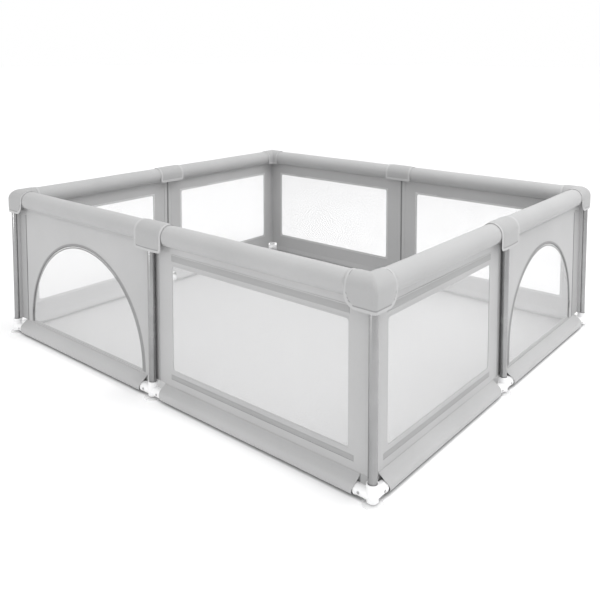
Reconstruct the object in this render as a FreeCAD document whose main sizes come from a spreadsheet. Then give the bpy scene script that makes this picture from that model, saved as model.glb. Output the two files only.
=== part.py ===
import FreeCAD, Part
import math
import os
import re
import Sketcher

# A rectangular fabric playpen. Steel tubes stand in plastic feet on suction cups, padded rails run
# round the top, and four fabric walls with netting windows hang between them. The front and right
# walls each have an arched netting door on a zip.
# X runs along the long side, Y along the short side, Z is up, and the origin is the middle of the floor.

doc = FreeCAD.newDocument("playpen")
sheet = doc.addObject("Spreadsheet::Sheet", "Sizes")

sizes = {
    # frame of tubes, post axis to post axis
    "post_span_x": 1940,
    "post_span_y": 1720,
    "post_radius": 14,
    "rail_radius": 12.5,
    "tube_wall": 1,
    "bottom_rail_height": 25,
    "top_rail_height": 610,
    "fit_gap": 0.3,
    # plastic feet and their suction cups
    "foot_base": 8,
    "socket_wall": 3.2,
    "socket_top": 61,
    "socket_floor": 10,
    "arm_wall": 3.7,
    "arm_reach": 58,
    "rail_start": 22,
    "collar_rise": 1.2,
    "collar_length": 7,
    "cup_radius": 33,
    "cup_lip": 4,
    "cup_skin": 2.5,
    "stem_radius": 5,
    "stem_depth": 5,
    # hidden fittings at the top corners and mid posts
    "hub_reach": 20,
    "hub_drop": 22,
    "spigot_depth": 45,
    # padded top rail, fabric walls and covers
    "sleeve_radius": 39,
    "pad_offset": 21,
    "sleeve_wall": 1.5,
    "corner_gap": 6,
    "hem_radius": 21,
    "hem_wall": 1.5,
    "hem_end": 60,
    "notch_top": 62.5,
    "post_hole_gap": 1.2,
    "plate_gap": 1.5,
    "plate_thickness": 2,
    "cover_gap": 0.6,
    "cover_wall": 2.9,
    "cover_outer_drop": 60,
    "cover_inner_drop": 35,
    "corner_cover_reach": 95,
    "mid_cover_reach": 76,
    # netting windows
    "window_margin": 97,
    "window_bottom": 123,
    "window_top": 505,
    "mesh_thickness": 1,
    "mesh_overlap": 10,
    # arched doors: clear distances to the mid post and to the corner post, and start of the arch
    "door_bottom": 68,
    "front_door_near": 72,
    "front_door_far": 110,
    "front_door_spring": 78,
    "right_door_near": 80,
    "right_door_far": 130,
    "right_door_spring": 146,
    "band_gap": 0.5,
    "flap_gap": 2.1,
    # zips
    "zip_width": 6,
    "zip_thickness": 3,
    "slider_length": 14,
    "slider_plate": 1.8,
    "slider_web": 1.4,
    "slider_gap": 0.35,
    "front_slider_angle": 8,
    "right_slider_angle": 0,
    "bail_width": 1.2,
    "pin_radius": 0.8,
    "pin_rise": 2.3,
    "eye_radius": 1.9,
    "tab_width": 4.4,
    "tab_length": 30,
    "tab_thickness": 1.2,
    # spring buttons that lock the bottom rails in the feet
    "button_radius": 4,
    "button_reach": 38,
    "button_proud": 1.5,
    "button_travel": 5.5,
    "flange_radius": 5.2,
    "flange_depth": 1.4,
    "flange_thickness": 1,
    "clip_width": 6,
    "clip_thickness": 0.6,
    "clip_length": 28,
}
for row, (alias, value) in enumerate(sizes.items(), start=1):
    sheet.set(f"A{row}", alias)
    sheet.set(f"B{row}", str(value))
    sheet.setAlias(f"B{row}", alias)
doc.recompute()

# Each corner: its direction in X and Y, and the turn that points a foot's two arms along the walls.
corners = {
    "front_left": (-1, -1, 0),
    "front_right": (1, -1, 90),
    "back_right": (1, 1, 180),
    "back_left": (-1, 1, 270),
}
# Each side: its direction, the turn of its own frame (x along the wall, y outwards) and its span.
sides = {
    "front": (0, -1, 180, "post_span_x"),
    "right": (1, 0, -90, "post_span_y"),
    "back": (0, 1, 0, "post_span_x"),
    "left": (-1, 0, 90, "post_span_y"),
}
# Each door: the half of its wall that it is in, along the wall's own x.
doors = {"front": 1, "right": -1}

# Sizes that follow from others, written as formulas of the sheet's names.
socket_radius = "(post_radius + fit_gap + socket_wall)"
arm_radius = "(rail_radius + fit_gap + arm_wall)"
sleeve_end = "(pad_offset + sleeve_radius + corner_gap)"
post_bottom = "(foot_base + socket_floor)"
post_top = "(top_rail_height - hub_drop)"
plate_outer = "(post_radius + plate_gap)"
plate_inner = "(post_radius + plate_gap + plate_thickness)"
pad_radius = "(sleeve_radius - sleeve_wall - fit_gap)"
cover_radius = "(sleeve_radius + cover_gap)"
slider_face = "(zip_thickness / 2 + slider_gap)"
pin_level = f"({slider_face} + slider_plate + pin_rise)"

nodes = []


def formula(text):
    """The same formula with every name that the sheet knows pointed at the sheet."""
    return re.sub(r"[a-z][a-z_]+", lambda word: ("Sizes." + word[0]) if word[0] in sizes else word[0], text)


def add(kind, name, **formulas):
    thing = doc.addObject(kind, name)
    for key, text in formulas.items():
        thing.setExpression(key, formula(text))
    return thing


def move(thing, x="0", y="0", z="0", axis=(0, 0, 1), turn=0):
    thing.Placement.Rotation = FreeCAD.Rotation(FreeCAD.Vector(*axis), turn)
    for key, text in (("x", x), ("y", y), ("z", z)):
        if text != "0":
            thing.setExpression("Placement.Base." + key, formula(text))
    return thing


def box(name, length, width, height, x, y, z):
    """A box from its low corner."""
    return move(add("Part::Box", name, Length=length, Width=width, Height=height), x, y, z)


def rod(name, radius, length, along="Z", x="0", y="0", z="0"):
    """A cylinder from the given point along X, Y or Z."""
    axis, turn = {"X": ((0, 1, 0), 90), "Y": ((1, 0, 0), -90), "Z": ((0, 0, 1), 0)}[along]
    return move(add("Part::Cylinder", name, Radius=radius, Height=length), x, y, z, axis, turn)


def fuse(name, things):
    result = doc.addObject("Part::MultiFuse", name)
    result.Shapes = things
    return result


def cut(name, base, tools):
    result = doc.addObject("Part::Cut", name)
    result.Base = base
    result.Tool = tools[0] if len(tools) == 1 else fuse(name + "_tools", tools)
    return result


def group(name, things):
    result = doc.addObject("Part::Compound", name)
    result.Links = things
    return result


def tube(name, radius, wall, length, along="Z", x="0", y="0", z="0"):
    outer = rod(name + "_outer", radius, length, along, x, y, z)
    inner = rod(name + "_inner", f"{radius} - {wall}", length, along, x, y, z)
    return cut(name, outer, [inner])


def copies(name, thing, spots):
    """A group of copies of one thing at (x, y, turn) spots."""
    made = []
    for number, (x, y, turn) in enumerate(spots, start=1):
        link = doc.addObject("App::Link", f"{name}_{number}")
        link.LinkedObject = thing
        made.append(move(link, x, y, turn=turn))
    return group(name, made)


def keep(thing, label):
    """Register a finished sub-part under the name of its file."""
    thing.Label = label
    nodes.append(thing)
    return thing


def at_corner(thing, corner):
    dx, dy, turn = corners[corner]
    return move(thing, f"{dx} * post_span_x / 2", f"{dy} * post_span_y / 2", turn=turn)


def at_side(thing, side):
    dx, dy, turn, _ = sides[side]
    return move(thing, f"{dx} * post_span_x / 2", f"{dy} * post_span_y / 2", turn=turn)


def corner_spots():
    return [(f"{dx} * post_span_x / 2", f"{dy} * post_span_y / 2", turn) for dx, dy, turn in corners.values()]


def side_spots():
    return [(f"{dx} * post_span_x / 2", f"{dy} * post_span_y / 2", turn) for dx, dy, turn, _ in sides.values()]


# ---- feet ----

def foot_arm(name, along, sign, out_along, out_sign):
    """One horizontal arm of a foot with its end collar, and the cuts for the rail and its button."""
    def point(distance):
        return {along.lower(): distance, "z": "bottom_rail_height"}

    def spread(start, length):
        return start if sign > 0 else f"-({start}) - ({length})"

    solids = [
        rod(name, arm_radius, "arm_reach", along, **point(spread("0", "arm_reach"))),
        rod(name + "_collar", f"{arm_radius} + collar_rise", "collar_length", along,
            **point(spread("arm_reach - collar_length", "collar_length"))),
    ]
    bore = rod(name + "_bore", "rail_radius + fit_gap", "arm_reach", along,
               **point(spread("rail_start", "arm_reach")))
    reach = "button_reach" if sign > 0 else "-button_reach"
    length = f"{arm_radius} * 2"
    start = "0" if out_sign > 0 else f"-{arm_radius} * 2"
    hole = rod(name + "_hole", "button_radius + fit_gap", length, out_along,
               **{along.lower(): reach, out_along.lower(): start, "z": "bottom_rail_height"})
    return solids, [bore, hole]


def foot(label, arms):
    """A socket for a post with horizontal arms for the bottom rails and a hole for the cup's stem."""
    solids = [
        rod(label + "_socket", socket_radius, "socket_top - foot_base", z="foot_base"),
        rod(label + "_rim", f"{socket_radius} + collar_rise", "collar_length", z="socket_top - collar_length"),
    ]
    cuts = [
        rod(label + "_bore", "post_radius + fit_gap", "socket_top", z=post_bottom),
        rod(label + "_stem_hole", "stem_radius + fit_gap", "stem_depth + fit_gap + 1", z="foot_base - 1"),
    ]
    for number, arm in enumerate(arms, start=1):
        more_solids, more_cuts = foot_arm(f"{label}_arm{number}", *arm)
        solids += more_solids
        cuts += more_cuts
    return keep(cut(label, fuse(label + "_body", solids), cuts), label)


def make_feet():
    for corner in corners:
        at_corner(foot("foot_" + corner, [("X", 1, "Y", -1), ("Y", 1, "X", -1)]), corner)
    for side in sides:
        at_side(foot(f"foot_{side}_mid", [("X", 1, "Y", 1), ("X", -1, "Y", 1)]), side)


def suction_cups():
    """Shallow soft cups, each with a flat lip on the floor and a stem pushed into its foot."""
    lip = tube("cup_lip_ring", "cup_radius", "cup_lip", "cup_skin")
    shell = cut("cup_shell", add("Part::Cone", "cup_dome", Radius1="cup_radius", Radius2="stem_radius * 2",
                                 Height="foot_base - fit_gap - cup_skin"),
                [add("Part::Cone", "cup_hollow", Radius1="cup_radius - cup_lip", Radius2="stem_radius",
                     Height="foot_base - fit_gap - cup_skin * 2")])
    stem = rod("cup_stem", "stem_radius", "stem_depth + cup_skin", z="foot_base - cup_skin")
    cup = fuse("cup", [lip, move(shell, z="cup_skin"), stem])
    keep(copies("suction_cups", cup, corner_spots() + side_spots()), "suction_cups")


# ---- tubes and hidden fittings ----

def make_posts():
    for corner in corners:
        at_corner(keep(tube("post_" + corner, "post_radius", "tube_wall", f"{post_top} - {post_bottom}",
                            z=post_bottom), "post_" + corner), corner)
    for side in sides:
        label = f"post_{side}_mid"
        at_side(keep(tube(label, "post_radius", "tube_wall", f"{post_top} - {post_bottom}", z=post_bottom),
                     label), side)


def button_places(span):
    """The four button positions along a wall, from its high end to its low end."""
    return [f"{span} / 2 - button_reach", "button_reach", "-button_reach", f"button_reach - {span} / 2"]


def bottom_rails(side):
    """Two tubes along the floor, drilled for their buttons."""
    span = sides[side][3]
    label = "bottom_rails_" + side
    start, length = "(rail_start + fit_gap)", f"{span} / 2 - (rail_start + fit_gap) * 2"
    places = button_places(span)
    rails = []
    halves = ((label + "_high", start, places[:2]), (label + "_low", f"{start} - {span} / 2", places[2:]))
    for name, x, spots in halves:
        rail = tube(name + "_tube", "rail_radius", "tube_wall", length, "X", x=x, z="bottom_rail_height")
        holes = [rod(f"{name}_hole{number}", "button_radius + fit_gap", "rail_radius * 2", "Y", x=spot,
                     z="bottom_rail_height") for number, spot in enumerate(spots, start=1)]
        rails.append(cut(name, rail, holes))
    at_side(keep(group(label, rails), label), side)


def top_rails(name, span):
    """The tubes of the top rail on the two sides of one length."""
    rails = []
    for side in [key for key, value in sides.items() if value[3] == span]:
        halves = []
        for end, x in (("high", "hub_reach"), ("low", f"hub_reach - {span} / 2")):
            halves.append(tube(f"{name}_{side}_{end}", "rail_radius", "tube_wall",
                               f"{span} / 2 - hub_reach * 2", "X", x=x, z="top_rail_height"))
        rails.append(at_side(group(f"{name}_{side}", halves), side))
    keep(group(name, rails), name)


def hub(name, arms):
    """A fitting that plugs into the top of a post and into the rails beside it."""
    solids = [
        rod(name + "_neck", "post_radius", "hub_drop", z=post_top),
        rod(name + "_plug", "post_radius - tube_wall - fit_gap", "spigot_depth",
            z=f"{post_top} - spigot_depth"),
    ]
    for number, (along, sign) in enumerate(arms, start=1):
        key = along.lower()
        reach = "(hub_reach + spigot_depth)"
        solids.append(rod(f"{name}_arm{number}", "rail_radius", "hub_reach", along,
                          **{key: "0" if sign > 0 else "-hub_reach", "z": "top_rail_height"}))
        solids.append(rod(f"{name}_spigot{number}", "rail_radius - tube_wall - fit_gap", reach, along,
                          **{key: "0" if sign > 0 else f"-{reach}", "z": "top_rail_height"}))
    return fuse(name, solids)


# ---- padded rail and fabric ----

def rail_pad(side):
    """Foam along the whole top rail of one side, thicker inwards, with a hole for the mid post."""
    span = sides[side][3]
    label = "rail_pad_" + side
    start, length = f"{sleeve_end} - {span} / 2", f"{span} - {sleeve_end} * 2"
    foam = rod(label + "_foam", pad_radius, length, "X", x=start, y="-pad_offset", z="top_rail_height")
    bore = rod(label + "_bore", "rail_radius + fit_gap", length, "X", x=start, z="top_rail_height")
    post = rod(label + "_post", "post_radius + post_hole_gap", "sleeve_radius + post_hole_gap",
               z="top_rail_height - sleeve_radius")
    at_side(keep(cut(label, foam, [bore, post]), label), side)


def door_radius(side):
    return f"(({sides[side][3]} / 2 - {side}_door_near - {side}_door_far) / 2)"


def door_middle(side):
    return f"({doors[side]} * ({side}_door_near + {door_radius(side)}))"


def arch(name, side, inset, thickness, depth, low="door_bottom"):
    """A slab with the door's outline, drawn in by inset. It lies between y = depth and depth + thickness."""
    radius = f"({door_radius(side)} - ({inset}))"
    spring = side + "_door_spring"
    disc = add("Part::Cylinder", name + "_disc", Radius=radius, Height=thickness)
    disc.Angle = 180
    move(disc, door_middle(side), f"{depth} + {thickness}", spring, axis=(1, 0, 0), turn=90)
    legs = box(name + "_legs", f"{radius} * 2", thickness, f"{spring} - ({low})",
               f"{door_middle(side)} - {radius}", depth, low)
    return fuse(name, [disc, legs])


def window(name, side, half, inset, thickness, depth):
    """A slab with a window's outline, drawn in by inset, in one half of a wall."""
    span = sides[side][3]
    width = f"({span} / 2 - (window_margin + {inset}) * 2)"
    x = f"window_margin + {inset}" if half > 0 else f"window_margin + {inset} - {span} / 2"
    return box(name, width, thickness, f"window_top - window_bottom - ({inset}) * 2", x, depth,
               f"window_bottom + {inset}")


def window_halves(side):
    return [half for half in (1, -1) if doors.get(side) != half]


def wall_openings(side):
    """The window and door holes, and the notches round the feet."""
    name = "wall_" + side
    span = sides[side][3]
    deep, back = "plate_thickness * 3", f"-{plate_inner} - plate_thickness"
    holes = [window(f"{name}_window{half + 2}", side, half, "0", deep, back) for half in window_halves(side)]
    if side in doors:
        holes.append(arch(name + "_doorway", side, "-zip_width / 2", deep, back))
    for number, (x, width) in enumerate((("-hem_end", "hem_end * 2"), (f"{span} / 2 - hem_end", "hem_end"),
                                         (f"-{span} / 2", "hem_end")), start=1):
        holes.append(box(f"{name}_notch{number}", width, deep, "notch_top", x, back, "0"))
    return holes


def wall(side):
    """One fabric wall: a flat panel with a sleeve round the top rail and one round each bottom rail."""
    name = "wall_" + side
    span = sides[side][3]
    end = plate_outer if span == "post_span_x" else plate_inner
    low = f"(bottom_rail_height + sqrt((hem_radius - hem_wall)^2 - {plate_outer}^2) + hem_wall / 5)"
    high = (f"(top_rail_height - sqrt((sleeve_radius - sleeve_wall)^2"
            f" - (pad_offset - {plate_outer})^2) - sleeve_wall / 5)")
    panel = box(name + "_panel", f"{span} - {end} * 2", "plate_thickness", f"{high} - {low}",
                f"{end} - {span} / 2", f"-{plate_inner}", low)
    panel = cut(name + "_pierced", panel, wall_openings(side))
    sleeve = tube(name + "_sleeve_tube", "sleeve_radius", "sleeve_wall", f"{span} - {sleeve_end} * 2", "X",
                  x=f"{sleeve_end} - {span} / 2", y="-pad_offset", z="top_rail_height")
    sleeve = cut(name + "_sleeve", sleeve, [rod(name + "_post_hole", "post_radius + post_hole_gap",
                                                "sleeve_radius + post_hole_gap",
                                                z="top_rail_height - sleeve_radius - post_hole_gap")])
    hems = [tube(f"{name}_hem{number}", "hem_radius", "hem_wall", f"{span} / 2 - hem_end * 2", "X", x=x,
                 z="bottom_rail_height")
            for number, x in enumerate(("hem_end", f"hem_end - {span} / 2"), start=1)]
    at_side(keep(fuse(name, [panel, sleeve] + hems), name), side)


def mesh_windows():
    """Netting panels sewn to the inner face of the walls."""
    panes = []
    for side in sides:
        for half in window_halves(side):
            pane = window(f"mesh_{side}_{half + 2}", side, half, "-mesh_overlap", "mesh_thickness",
                          f"-{plate_inner} - mesh_thickness")
            panes.append(at_side(group(f"mesh_{side}_{half + 2}_placed", [pane]), side))
    keep(group("mesh_windows", panes), "mesh_windows")


def cover_section(name):
    """An upside-down U round the padded rail: its outer leg hangs lower than its inner leg.
    The sketch lies in the plane of y (outwards) and z, with the rail's axis at its origin.
    Its points are drawn roughly, and the constraints bring them to size."""
    outer, inner, outer_low, inner_low = 43, 40, -60, -30
    sketch = doc.addObject("Sketcher::SketchObject", name)
    centre, up = FreeCAD.Vector(0, 0, 0), FreeCAD.Vector(0, 0, 1)
    for radius in (outer, inner):
        sketch.addGeometry(Part.ArcOfCircle(Part.Circle(centre, up, radius), 0, math.pi), False)
    for side, low in ((1, outer_low), (-1, inner_low)):
        leg = [FreeCAD.Vector(side * outer, 0, 0), FreeCAD.Vector(side * outer, low, 0),
               FreeCAD.Vector(side * inner, low, 0), FreeCAD.Vector(side * inner, 0, 0)]
        for start, end in zip(leg, leg[1:]):
            sketch.addGeometry(Part.LineSegment(start, end), False)
    rule = Sketcher.Constraint
    rules = [rule("Coincident", 0, 3, -1, 1), rule("Coincident", 1, 3, -1, 1)]
    for first, arc_end in ((2, 1), (5, 2)):
        rules += [rule("Coincident", 0, arc_end, first, 1), rule("Coincident", first, 2, first + 1, 1),
                  rule("Coincident", first + 1, 2, first + 2, 1), rule("Coincident", first + 2, 2, 1, arc_end),
                  rule("Vertical", first), rule("Horizontal", first + 1), rule("Vertical", first + 2),
                  rule("PointOnObject", first, 1, -1)]
    rules += [rule("PointOnObject", 4, 2, -1)]
    sketch.addConstraint(rules)
    drops = (("outer_radius", rule("Radius", 0, outer), f"{cover_radius} + cover_wall"),
             ("inner_radius", rule("Radius", 1, inner), cover_radius),
             ("outer_drop", rule("DistanceY", 2, 2, -1, 1, -outer_low), "cover_outer_drop"),
             ("inner_drop", rule("DistanceY", 5, 2, -1, 1, -inner_low), "cover_inner_drop"))
    for key, constraint, text in drops:
        index = sketch.addConstraint(constraint)
        sketch.renameConstraint(index, key)
        sketch.setExpression("Constraints." + key, formula(text))
    return sketch


def mid_covers():
    """Straight caps over the padded rail at the mid posts."""
    section = cover_section("mid_cover_section")
    move(section, x="-mid_cover_reach", y="-pad_offset", z="top_rail_height", axis=(1, 1, 1), turn=120)
    cap = add("Part::Extrusion", "mid_cover", LengthFwd="mid_cover_reach * 2")
    cap.Base, cap.DirMode, cap.Dir, cap.Solid = section, "Custom", FreeCAD.Vector(1, 0, 0), True
    keep(copies("mid_covers", cap, side_spots()), "mid_covers")


def corner_covers():
    """Caps over the corners of the padded rail, swept round a square corner."""
    section = cover_section("corner_cover_section")
    move(section, x="-corner_cover_reach", y="-pad_offset", z="top_rail_height", axis=(1, 1, 1), turn=120)
    path = doc.addObject("Sketcher::SketchObject", "corner_cover_path")
    rough = 120  # drawn roughly, and brought to size by the constraints
    path.addGeometry([Part.LineSegment(FreeCAD.Vector(-rough, 0, 0), FreeCAD.Vector(0, 0, 0)),
                      Part.LineSegment(FreeCAD.Vector(0, 0, 0), FreeCAD.Vector(0, -rough, 0))], False)
    rule = Sketcher.Constraint
    path.addConstraint([rule("Coincident", 0, 2, 1, 1), rule("Coincident", 0, 2, -1, 1),
                        rule("Horizontal", 0), rule("Vertical", 1)])
    for key, constraint in (("first", rule("DistanceX", 0, 1, 0, 2, rough)),
                            ("second", rule("DistanceY", 1, 2, 1, 1, rough))):
        index = path.addConstraint(constraint)
        path.renameConstraint(index, key)
        path.setExpression("Constraints." + key, formula("corner_cover_reach - pad_offset"))
    move(path, x="-pad_offset", y="-pad_offset", z="top_rail_height")
    cap = doc.addObject("Part::Sweep", "corner_cover")
    cap.Sections, cap.Spine = [section], path
    cap.Transition, cap.Solid, cap.Frenet = "Right corner", True, False
    turned = [(x, y, turn + 180) for x, y, turn in corner_spots()]
    keep(copies("corner_covers", cap, turned), "corner_covers")


# ---- doors and zips ----

def door_flap(side):
    """The netting door inside its zip, hinged along its bottom edge."""
    label = "door_flap_" + side
    flap = arch(label, side, "zip_width / 2 + flap_gap", "plate_thickness", f"-{plate_inner}",
                "door_bottom + band_gap")
    at_side(keep(flap, label), side)


def zip_chains():
    """The closed teeth of both zips, each an arch with two straight legs."""
    chains = []
    for side in doors:
        depth = f"-({plate_outer} + {plate_inner}) / 2 - zip_thickness / 2"
        outer = arch(f"zip_{side}_outer", side, "-zip_width / 2", "zip_thickness", depth)
        inner = arch(f"zip_{side}_inner", side, "zip_width / 2", "zip_thickness", depth)
        chains.append(at_side(cut(f"zip_{side}", outer, [inner]), side))
    keep(group("zip_chains", chains), "zip_chains")


def slider_solids(name):
    """A slider round the chain, in its own frame: x away from the door's middle, y outwards, z along the chain.
    Two plates are joined by a web on the door's side, and a bail on the outer plate holds the pull's pin."""
    edge = "(zip_width / 2 + slider_gap)"
    low = f"-{edge} - slider_web"
    wide = f"{edge} * 2 + slider_web"
    plates = [box(f"{name}_{part}_plate", wide, "slider_plate", "slider_length", low, y, "-slider_length / 2")
              for part, y in (("outer", slider_face), ("inner", f"-{slider_face} - slider_plate"))]
    web = box(name + "_web", "slider_web", f"{slider_face} * 2", "slider_length", low, f"-{slider_face}",
              "-slider_length / 2")
    bails = [box(f"{name}_bail{number}", "bail_width", "pin_rise + pin_radius * 1.5", "bail_width * 3", x,
                 f"{slider_face} + slider_plate", "-bail_width * 1.5")
             for number, x in enumerate(("tab_width / 2 + fit_gap", "-tab_width / 2 - fit_gap - bail_width"),
                                        start=1)]
    pin = rod(name + "_pin", "pin_radius", "tab_width + fit_gap * 2 + bail_width", "X",
              x="-(tab_width + fit_gap * 2 + bail_width) / 2", y=pin_level)
    return fuse(name, plates + [web] + bails + [pin])


def pull_solids(name):
    """The flat tab with an eye on the slider's pin. It hangs back along the chain."""
    eye = rod(name + "_eye", "eye_radius", "tab_width", "X", x="-tab_width / 2", y=pin_level)
    tab = box(name + "_blade", "tab_width", "tab_thickness", "tab_length", "-tab_width / 2",
              f"{pin_level} - tab_thickness / 2", "-tab_length")
    hole = rod(name + "_eye_bore", "pin_radius + fit_gap", "tab_width * 2", "X", x="-tab_width", y=pin_level)
    return cut(name, fuse(name + "_solid", [eye, tab]), [hole])


def parked(thing, name, side):
    """Carry a slider or pull out to the chain, up by its parking angle, then to its wall."""
    half = doors[side]
    if half < 0:
        source = thing
        thing = doc.addObject("Part::Mirroring", name + "_mirror")
        thing.Source, thing.Normal = source, FreeCAD.Vector(1, 0, 0)
    reached = move(group(name + "_reached", [thing]), x=f"{half} * {door_radius(side)}")
    raised = group(name + "_raised", [reached])
    move(raised, x=door_middle(side), y=f"-({plate_outer} + {plate_inner}) / 2", z=side + "_door_spring",
         axis=(0, -half, 0))
    raised.setExpression("Placement.Rotation.Angle", formula(side + "_slider_angle"))
    at_side(keep(group(name, [raised]), name), side)


def zip_hardware(side):
    parked(slider_solids(f"zip_slider_{side}_solid"), "zip_slider_" + side, side)
    parked(pull_solids(f"zip_pull_{side}_solid"), "zip_pull_" + side, side)


# ---- spring buttons ----

def rail_button(label, side, x):
    """A button that stands through the foot and the rail, with a flange that stops it inside the tube."""
    inner = "(rail_radius - tube_wall - flange_depth - flange_thickness)"
    pin = rod(label + "_pin", "button_radius", f"{arm_radius} + button_proud - {inner}", "Y", x=x, y=inner,
              z="bottom_rail_height")
    flange = rod(label + "_flange", "flange_radius", "flange_thickness", "Y", x=x, y=inner,
                 z="bottom_rail_height")
    at_side(keep(fuse(label, [pin, flange]), label), side)


def button_clip(name, x, away):
    """A bent strip inside the rail: one leg on the far wall and one just below the pressed button."""
    back = "(sqrt((rail_radius - tube_wall)^2 - (clip_width / 2)^2) - fit_gap)"
    leaf = "(rail_radius - tube_wall - flange_depth - flange_thickness - button_travel - fit_gap)"
    low = f"{x} - clip_width / 2" if away > 0 else f"{x} + clip_width / 2 - clip_length"
    bend = f"{low} + clip_length - clip_thickness" if away > 0 else low
    z = "bottom_rail_height - clip_width / 2"
    return fuse(name, [
        box(name + "_back", "clip_length", "clip_thickness", "clip_width", low, f"-{back}", z),
        box(name + "_leaf", "clip_length", "clip_thickness", "clip_width", low, f"{leaf} - clip_thickness", z),
        box(name + "_bend", "clip_thickness", f"{leaf} + {back}", "clip_width", bend, f"-{back}", z),
    ])


def buttons_and_clips():
    clips = []
    for side in sides:
        # clips point away from the post they are nearest to
        for number, (x, away) in enumerate(zip(button_places(sides[side][3]), (-1, 1, -1, 1)), start=1):
            rail_button(f"rail_button_{side}_{number}", side, x)
            clips.append(at_side(group(f"clip_{side}_{number}_placed",
                                       [button_clip(f"clip_{side}_{number}", x, away)]), side))
    keep(group("button_clips", clips), "button_clips")


make_feet()
suction_cups()
make_posts()
for side in sides:
    bottom_rails(side)
    rail_pad(side)
    wall(side)
top_rails("top_rails_long", "post_span_x")
top_rails("top_rails_short", "post_span_y")
keep(copies("top_elbows", hub("elbow", [("X", 1), ("Y", 1)]), corner_spots()), "top_elbows")
keep(copies("top_tees", hub("tee", [("X", 1), ("X", -1)]), side_spots()), "top_tees")
mid_covers()
corner_covers()
mesh_windows()
zip_chains()
for side in doors:
    door_flap(side)
    zip_hardware(side)
buttons_and_clips()
doc.recompute()

for thing in doc.Objects:
    if "Invalid" in thing.State or "Error" in thing.State:
        raise RuntimeError(f"{thing.Name} failed: {thing.State}")
os.makedirs("parts", exist_ok=True)
for thing in nodes:
    shape = Part.getShape(thing)
    if shape.isNull() or not shape.isValid():
        raise RuntimeError(thing.Label + " has no valid shape")
    shape.exportStep(f"parts/{thing.Label}.step")
print(f"wrote {len(nodes)} sub-parts")
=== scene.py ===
import math

import bmesh
import bpy
import numpy as np
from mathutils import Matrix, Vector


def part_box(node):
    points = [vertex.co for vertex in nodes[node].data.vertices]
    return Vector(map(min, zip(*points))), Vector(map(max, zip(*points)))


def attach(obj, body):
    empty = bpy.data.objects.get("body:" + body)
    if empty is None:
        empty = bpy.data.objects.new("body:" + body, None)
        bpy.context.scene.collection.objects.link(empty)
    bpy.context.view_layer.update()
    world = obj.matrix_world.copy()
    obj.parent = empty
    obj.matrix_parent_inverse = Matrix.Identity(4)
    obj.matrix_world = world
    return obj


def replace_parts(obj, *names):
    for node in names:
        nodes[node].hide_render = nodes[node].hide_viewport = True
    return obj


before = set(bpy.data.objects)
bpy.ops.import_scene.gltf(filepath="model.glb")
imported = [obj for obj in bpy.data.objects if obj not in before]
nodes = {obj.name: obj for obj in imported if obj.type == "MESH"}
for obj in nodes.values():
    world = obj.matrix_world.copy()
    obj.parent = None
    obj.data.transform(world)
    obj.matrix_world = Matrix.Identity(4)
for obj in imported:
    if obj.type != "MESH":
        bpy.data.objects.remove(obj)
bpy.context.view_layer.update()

# A fabric playpen: steel posts in white plastic feet, padded top rails with covers at the corners and mid posts,
# fabric walls with netting windows, and two arched netting doors on zips. Everything is in metres.


# Places that the rest is measured from

def middle(node):
    low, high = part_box(node)
    return np.array((low + high) / 2)


halfX, halfY = abs(middle("post_front_right")[:2])
railZ = middle("top_rails_long")[2]  # axis of the padded top rail
railIn = 0.021  # how far the padded rail's axis lies inside the posts
hemZ = middle("bottom_rails_front")[2]  # axis of the tubes along the floor
walls = {
    "front": {"out": (0, -1), "turn": 180, "half": halfX, "door": 1},
    "right": {"out": (1, 0), "turn": -90, "half": halfY, "door": -1},
    "back": {"out": (0, 1), "turn": 0, "half": halfX, "door": 0},
    "left": {"out": (-1, 0), "turn": 90, "half": halfY, "door": 0},
}
corners = {
    "front_left": {"out": (-1, -1), "turn": 180},
    "front_right": {"out": (1, -1), "turn": 270},
    "back_right": {"out": (1, 1), "turn": 0},
    "back_left": {"out": (-1, 1), "turn": 90},
}
doors = {  # clear arch of each door, in its wall's own x
    "front": {"middle": 0.466, "radius": 0.394, "spring": 0.078, "foot": 0.068},
    "right": {"middle": 0.405, "radius": 0.325, "spring": 0.146, "foot": 0.068},
}
panelOut, panelIn = -0.0156, -0.0174  # outer and inner face of the wall fabric, in wall space


# Wall and corner space: x along the wall, y outwards, z up, turned and carried to its place
def placed(points, spot):
    c, s = round(math.cos(math.radians(spot["turn"]))), round(math.sin(math.radians(spot["turn"])))
    x, y, z = np.moveaxis(np.asarray(points, float), -1, 0)
    return np.stack([c * x - s * y + spot["out"][0] * halfX, s * x + c * y + spot["out"][1] * halfY, z], -1)


# Shapes as grids of points

def pattern(along, across):
    return np.stack(np.meshgrid(along, across, indexing="ij"), -1)


# A grid of points becomes four-sided faces, and flat holds where each point lies on the uncut cloth, in metres
def surface(points, flat, wrapAlong=False, wrapAcross=False, finish=0):
    rows, columns = points.shape[:2]
    i, j = np.meshgrid(np.arange(rows - 1 + wrapAlong), np.arange(columns - 1 + wrapAcross), indexing="ij")
    i, j = i.ravel(), j.ravel()
    cornerI, cornerJ = np.stack([i, i + 1, i + 1, i], 1), np.stack([j, j, j + 1, j + 1], 1)
    faces = (cornerI % rows) * columns + cornerJ % columns
    finishes = np.broadcast_to(np.asarray(finish), (rows - 1 + wrapAlong, columns - 1 + wrapAcross)).ravel()
    return {"points": points.reshape(-1, 3), "faces": faces, "flat": flat[cornerI, cornerJ].reshape(-1, 2),
            "finish": finishes}


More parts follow.
